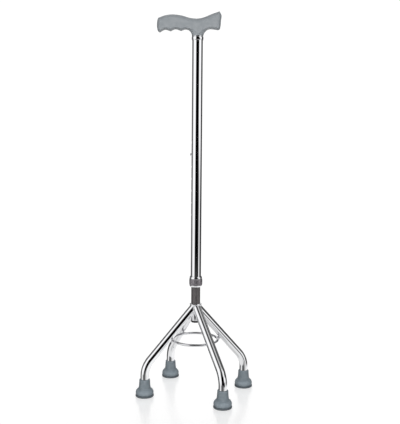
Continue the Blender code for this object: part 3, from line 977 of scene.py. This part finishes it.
# What the chrome reflects, painted in this order: azimuths from the camera's side round to the
# right, elevations (degrees), how soft the edges are, and how bright it is.
PANELS = [
    ("floor", -200, 200, -95, -13, 4, 0.86),
    ("floor_under_left", -135, -5, -80, -55, 8, 0.62),
    ("floor_right", 32, 150, -52, -16, 5, 1.00),
    ("floor_left_back", -200, -90, -26, -7, 4, 0.07),
    ("floor_before_camera", -44, 22, -25, -12, 4, 0.13),
    ("back_left", -200, -86, -10, 60, 4, 0.14),
    ("back_right", 84, 200, -15, 26, 4, 0.055),
    ("back_right_high", 68, 122, 26, 52, 4, 0.07),
    ("right_glow", 118, 142, 20, 36, 4, 0.55),
    ("left_softbox_low", -88, -26, -9, 14, 5, 1.10),
    ("left_softbox", -78, -26, 10, 45, 5, 1.10),
    ("left_softbox_foot", -82, -36, -14, -7, 3, 1.05),
    ("right_softbox", 36, 88, 2, 30, 5, 1.10),
    ("right_softbox_high", 36, 74, 24, 52, 5, 1.05),
    ("right_softbox_low", 45, 88, -4, 5, 4, 1.10),
    ("right_softbox_foot", 52, 77, -14, -3, 4, 1.10),
    ("right_flag", 74, 125, 11, 25, 4, 0.06),
    ("low_flag", 22, 57, -18, -2, 4, 0.06),
    ("top_right", 28, 70, 48, 75, 5, 0.66),
    ("overhead", -200, 200, 74, 95, 4, 0.16),
    ("top_middle", 4, 30, 42, 75, 6, 0.19),
    ("gap_above_camera", -38, 6, 42, 75, 6, 0.05),
    ("gap_over_camera", -24, 28, 18, 45, 5, 0.06),
    ("camera_side", -28, 37, -14, 22, 5, 0.0),
    ("backdrop_left", -200, -156, -14, 70, 4, 0.95),
    ("backdrop_right", 153, 200, -14, 70, 4, 0.95),
]


def world():
    """White behind the object; glossy rays see the panels, diffuse rays a soft even light."""
    made = bpy.data.worlds.new("studio")
    made.use_nodes = True
    tree = made.node_tree
    bpy.context.scene.world = made

    def math_node(kind, a, b=0.0):
        node = tree.nodes.new("ShaderNodeMath")
        node.operation = kind
        for socket, value in zip(node.inputs, (a, b)):
            if isinstance(value, bpy.types.NodeSocket):
                tree.links.new(value, socket)
            else:
                socket.default_value = value
        return node.outputs[0]

    def step_up(value, start, end):
        node = tree.nodes.new("ShaderNodeMapRange")
        node.interpolation_type = "SMOOTHSTEP"
        tree.links.new(value, node.inputs["Value"])
        node.inputs["From Min"].default_value = start
        node.inputs["From Max"].default_value = end
        return node.outputs["Result"]

    direction = tree.nodes.new("ShaderNodeSeparateXYZ")
    tree.links.new(tree.nodes.new("ShaderNodeTexCoord").outputs["Generated"], direction.inputs[0])
    x, y, z = direction.outputs
    degrees = 180 / math.pi
    towards_camera = math_node("MULTIPLY", y, -1.0)
    azimuth = math_node("MULTIPLY", math_node("ARCTAN2", x, towards_camera), degrees)
    elevation = math_node("MULTIPLY", math_node("ARCSINE", z), degrees)

    def inside(value, low, high, soft):
        rise = step_up(value, low - soft, low + soft)
        fall = step_up(math_node("MULTIPLY", value, -1.0), -high - soft, -high + soft)
        return math_node("MULTIPLY", rise, fall)

    between_panels = 0.45
    backdrop = 1.05
    level = math_node("ADD", between_panels, 0.0)
    for _, left, right, low, high, soft, brightness in PANELS:
        across = inside(azimuth, left, right, soft)
        mask = math_node("MULTIPLY", across, inside(elevation, low, high, soft))
        change = math_node("MULTIPLY", math_node("SUBTRACT", brightness, level), mask)
        level = math_node("ADD", level, change)

    front_and_back, sharpness, from_above, all_round = 3.2, 7.0, 0.08, 0.23
    facing = math_node("POWER", math_node("ABSOLUTE", y), sharpness)
    lobes = math_node("MULTIPLY", facing, front_and_back)
    soft_light = math_node("ADD", lobes, math_node("MULTIPLY", z, from_above))
    soft_light = math_node("ADD", soft_light, all_round)

    path = tree.nodes.new("ShaderNodeLightPath")

    def pick(switch, a, b):
        node = tree.nodes.new("ShaderNodeMix")
        tree.links.new(switch, node.inputs["Factor"])
        for name, value in (("A", a), ("B", b)):
            if isinstance(value, bpy.types.NodeSocket):
                tree.links.new(value, node.inputs[name])
            else:
                node.inputs[name].default_value = value
        return node.outputs["Result"]

    seen = pick(path.outputs["Is Glossy Ray"], soft_light, level)
    seen = pick(path.outputs["Is Camera Ray"], seen, backdrop)
    tree.links.new(seen, tree.nodes["Background"].inputs["Color"])


def camera():
    """Stands in front of the shaft, below the handle, and looks a little down."""
    made = bpy.data.cameras.new("camera")
    made.lens = 61.456
    made.sensor_width = 36
    obj = bpy.data.objects.new("camera", made)
    bpy.context.scene.collection.objects.link(obj)
    aside, distance, height = 0.0077, 1.5, 0.5467
    tilt = math.radians(6.163)
    roll = math.radians(0.459)
    place = Matrix.Translation((aside, -distance, height))
    turned_down = Matrix.Rotation(math.pi / 2 - tilt, 4, "X")
    obj.matrix_world = place @ turned_down @ Matrix.Rotation(roll, 4, "Z")
    bpy.context.scene.camera = obj
    bpy.context.scene.view_settings.view_transform = "Standard"


# ---- assembly -----------------------------------------------------------------------------


def build():
    looks = {
        "chrome": chrome(),
        "wire_chrome": wire_chrome(),
        "knurled_chrome": knurled_chrome(),
        "satin_steel": satin_steel(),
        "plain_steel": plain_steel(),
        "grip_plastic": grip_plastic(),
        "foot_rubber": foot_rubber(),
        "black_plastic": black_plastic(),
        "natural_nylon": natural_nylon(),
    }
    handle_grip(looks["grip_plastic"])
    handle_ferrule(looks["chrome"])
    shaft(looks)
    snap_button(looks["chrome"])
    button_spring(looks["plain_steel"])
    lock_nut(looks)
    hub(looks)
    for corner in CORNERS:
        leg(corner, looks["chrome"])
        foot(corner, looks["foot_rubber"])
    hub_welds(looks["chrome"])
    brace_ring(looks["wire_chrome"])
    dress_inner_pieces(looks)
    studio_floor()
    world()
    camera()


build()
